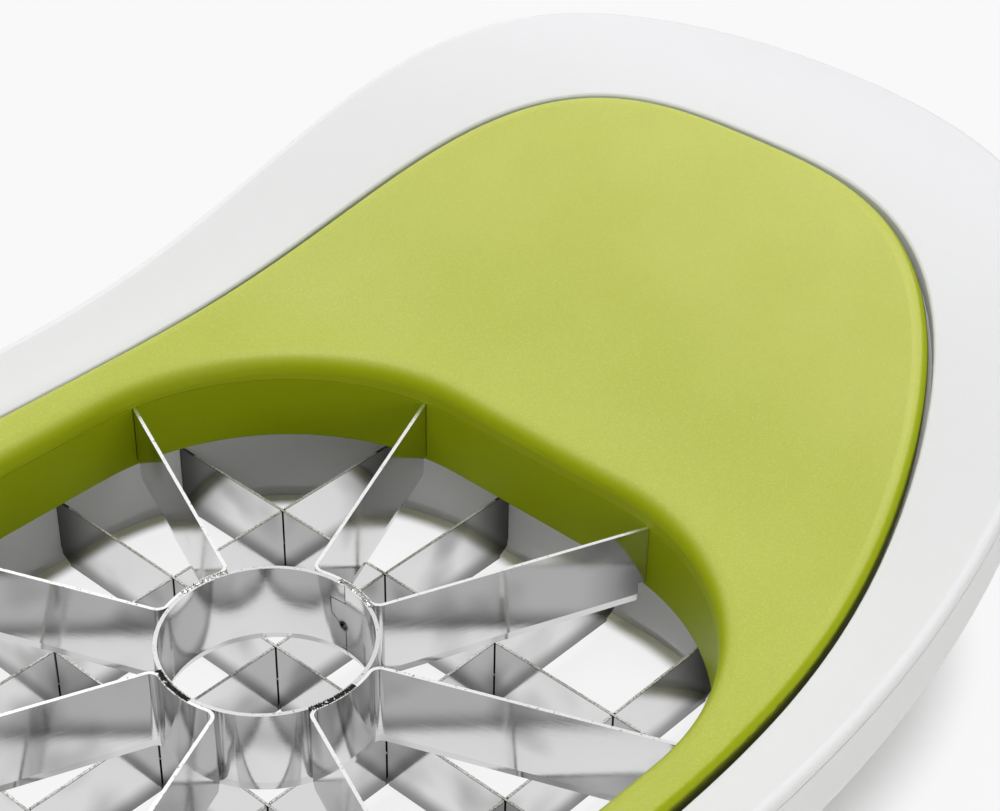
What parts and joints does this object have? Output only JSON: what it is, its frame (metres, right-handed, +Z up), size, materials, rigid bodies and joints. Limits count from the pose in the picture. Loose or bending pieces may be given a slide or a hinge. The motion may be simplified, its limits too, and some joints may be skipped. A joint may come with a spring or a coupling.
{
  "type": "apple wedger and chip cutter",
  "caption": "Two-in-one hand cutter: a green apple wedger with a round corer lies in a white oval tray with raised handles and a square grid of steel strips for potato chips.",
  "frame": {"origin": "on the table, under the middle of the corer, which is also the middle of the outline", "axes": "+X along the long axis, towards one handle; +Y across; +Z up, along the corer's axis"},
  "size_m": [0.1904, 0.1106, 0.0524],
  "materials": {
    "green_plastic": "fine-grained satin moulding, apple green",
    "white_plastic": "fine-grained satin moulding, white",
    "blade_steel": "bright rolled stainless strip with a ground edge",
    "weld_steel": "rough weld bead, dull"
  },
  "bodies": {
    "chipper": {"chipper_tray": "white_plastic", "chipper_rim": "white_plastic", "chip_blade_carrier": "white_plastic", "chip_strip_long_1": "blade_steel", "chip_strip_long_2": "blade_steel", "chip_strip_long_3": "blade_steel", "chip_strip_long_4": "blade_steel", "chip_strip_cross_1": "blade_steel", "chip_strip_cross_2": "blade_steel", "chip_strip_cross_3": "blade_steel", "chip_strip_cross_4": "blade_steel"},
    "wedger": {"wedger_top": "green_plastic", "wedge_blade_carrier": "green_plastic", "core_ring": "blade_steel", "wedge_strip_1": "blade_steel", "wedge_strip_2": "blade_steel", "wedge_strip_3": "blade_steel", "wedge_strip_4": "blade_steel", "ring_weld_1": "weld_steel", "ring_weld_2": "weld_steel", "ring_weld_3": "weld_steel", "ring_weld_4": "weld_steel"}
  },
  "joints": [
    {"name": "wedger_lift", "type": "slide", "parent": "chipper", "child": "wedger", "axis": [0, 0, 1], "range_m": [0, 0.06]}
  ]
}
